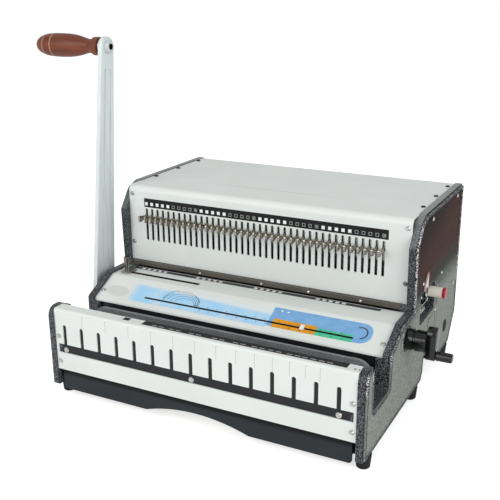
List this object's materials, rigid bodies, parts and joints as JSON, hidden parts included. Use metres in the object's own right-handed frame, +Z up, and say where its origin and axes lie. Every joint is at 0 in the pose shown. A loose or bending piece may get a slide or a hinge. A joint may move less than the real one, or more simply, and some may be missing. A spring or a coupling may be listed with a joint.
{
  "type": "wire binding machine",
  "caption": "Desk machine that punches a row of square holes in paper edges and closes wire loops, worked by one side lever with a wooden grip.",
  "frame": {"origin": "middle of the bounding box's footprint, on the plane under the feet", "axes": "+X along the punch line toward the crank and dial, +Y to the back, +Z up"},
  "size_m": [0.589, 0.3708, 0.4298],
  "materials": {
    "hammertone": "hammered dark grey enamel",
    "white_paint": "smooth off-white enamel",
    "black_paint": "satin black",
    "grey_paint": "light blue-grey enamel",
    "plated_steel": "zinc plated",
    "dark_steel": "oiled dark steel",
    "tool_steel": "ground",
    "screw_steel": "bright",
    "pull_steel": "nickel, worn",
    "spring_steel": "drawn",
    "bronze": "turned",
    "rubber": "matte",
    "black_plastic": "gloss",
    "cream_plastic": "gloss",
    "red_plastic": "gloss",
    "pink_plastic": "printed",
    "white_plastic": "gloss",
    "wood": "varnished reddish brown"
  },
  "bodies": {
    "machine": {"left_frame": "hammertone", "right_frame": "hammertone", "right_side_cover": "hammertone", "front_panel": "white_paint", "panel_screws": "screw_steel", "comb_bar": "black_paint", "comb_bar_spacers": "plated_steel", "comb_bar_screws": "screw_steel", "anvil_beam": "plated_steel", "closer_trough": "black_paint", "table_plate": "white_paint", "die_plate": "tool_steel", "pin_guide": "dark_steel", "spring_seats": "plated_steel", "return_springs": "spring_steel", "upper_cover": "white_paint", "back_panel": "white_paint", "rear_floor": "plated_steel", "shaft_bushes": "bronze", "selector_bearings": "bronze", "jaw_bushes": "bronze", "slide_guides": "plated_steel", "drawer_rails": "plated_steel", "gauge_brackets": "plated_steel", "dial_scale": "pink_plastic", "rubber_feet": "rubber", "foot_screws": "screw_steel"},
    "drive": {"main_shaft": "tool_steel", "bell_cranks": "plated_steel", "crank_pins": "tool_steel", "lever_hub": "tool_steel", "lever_arm": "grey_paint", "lever_nut": "screw_steel", "grip_bolt": "black_paint", "grip_collar": "screw_steel"},
    "lever_grip": {"lever_grip": "wood"},
    "punch": {"punch_bar": "dark_steel", "punch_slides": "plated_steel", "punch_pins": "tool_steel"},
    "jaw": {"jaw_plate": "hammertone", "jaw_arms": "plated_steel", "jaw_rods": "tool_steel"},
    "selector": {"lead_screw": "tool_steel", "hand_crank": "black_plastic", "hand_crank_spindle": "tool_steel"},
    "hand_grip": {"hand_grip": "black_plastic"},
    "pointer": {"pointer_nut": "bronze", "size_pointer": "white_plastic"},
    "side_guide": {"side_guide": "plated_steel"},
    "thumb_screw": {"thumb_screw": "dark_steel"},
    "margin_dial": {"gauge_shaft": "tool_steel", "margin_dial": "cream_plastic", "dial_cap": "red_plastic"},
    "back_gauge": {"back_gauge": "plated_steel"},
    "chip_drawer": {"drawer_front": "black_paint", "chip_tray": "plated_steel"},
    "pin_pulls_1_10": {"pin_pulls_1_10": "pull_steel"},
    "pin_pulls_11_20": {"pin_pulls_11_20": "pull_steel"},
    "pin_pulls_21_30": {"pin_pulls_21_30": "pull_steel"},
    "pin_pulls_31_40": {"pin_pulls_31_40": "pull_steel"}
  },
  "joints": [
    {"name": "lever_pull", "type": "hinge", "parent": "machine", "child": "drive", "pos_m": [0.0355, -0.06015, 0.048], "axis": [1, 0, 0], "range_deg": [0, 70]},
    {"name": "grip_spin", "type": "hinge", "parent": "drive", "child": "lever_grip", "pos_m": [-0.2945, -0.01876, 0.41467], "axis": [1, 0, 0], "continuous": true},
    {"name": "punch_stroke", "type": "slide", "parent": "machine", "child": "punch", "axis": [0, 0, -1], "range_m": [0, 0.025], "stiffness_N_per_m": 400, "springref_m": -0.15, "deforming": ["return_springs"]},
    {"name": "jaw_slide", "type": "slide", "parent": "machine", "child": "jaw", "axis": [0, -1, 0], "range_m": [0, 0.044]},
    {"name": "selector_turn", "type": "hinge", "parent": "machine", "child": "selector", "pos_m": [0.2645, -0.05065, 0.1045], "axis": [1, 0, 0], "range_deg": [-6435, 1755]},
    {"name": "hand_grip_spin", "type": "hinge", "parent": "selector", "child": "hand_grip", "pos_m": [0.2755, -0.05365, 0.0915], "axis": [1, 0, 0], "continuous": true},
    {"name": "pointer_slide", "type": "slide", "parent": "machine", "child": "pointer", "axis": [1, 0, 0], "range_m": [-0.2145, 0.0585]},
    {"name": "side_guide_slide", "type": "slide", "parent": "machine", "child": "side_guide", "axis": [1, 0, 0], "range_m": [0, 0.108]},
    {"name": "thumb_screw_turn", "type": "hinge", "parent": "side_guide", "child": "thumb_screw", "pos_m": [-0.1455, -0.04865, 0.1365], "axis": [0, 0, 1], "continuous": true},
    {"name": "margin_turn", "type": "hinge", "parent": "machine", "child": "margin_dial", "pos_m": [0.241, 0.05135, 0.127], "axis": [1, 0, 0], "range_deg": [-60, 60]},
    {"name": "back_gauge_slide", "type": "slide", "parent": "machine", "child": "back_gauge", "axis": [0, -1, 0], "range_m": [-0.002, 0.002]},
    {"name": "chip_drawer_slide", "type": "slide", "parent": "machine", "child": "chip_drawer", "axis": [0, -1, 0], "range_m": [0, 0.18]},
    {"name": "pin_pulls_1_10_slide", "type": "slide", "parent": "punch", "child": "pin_pulls_1_10", "axis": [0, -1, 0], "range_m": [0, 0.008]},
    {"name": "pin_pulls_11_20_slide", "type": "slide", "parent": "punch", "child": "pin_pulls_11_20", "axis": [0, -1, 0], "range_m": [0, 0.008]},
    {"name": "pin_pulls_21_30_slide", "type": "slide", "parent": "punch", "child": "pin_pulls_21_30", "axis": [0, -1, 0], "range_m": [0, 0.008]},
    {"name": "pin_pulls_31_40_slide", "type": "slide", "parent": "punch", "child": "pin_pulls_31_40", "axis": [0, -1, 0], "range_m": [0, 0.008]}
  ],
  "couplings": [
    {"joint": "punch_stroke", "follows": "lever_pull", "m_per_rad": 0.020463},
    {"joint": "jaw_slide", "follows": "lever_pull", "m_per_rad": 0.036014},
    {"joint": "selector_turn", "follows": "pointer_slide", "rad_per_m": 523.59},
    {"joint": "margin_turn", "follows": "back_gauge_slide", "rad_per_m": 523.59}
  ]
}
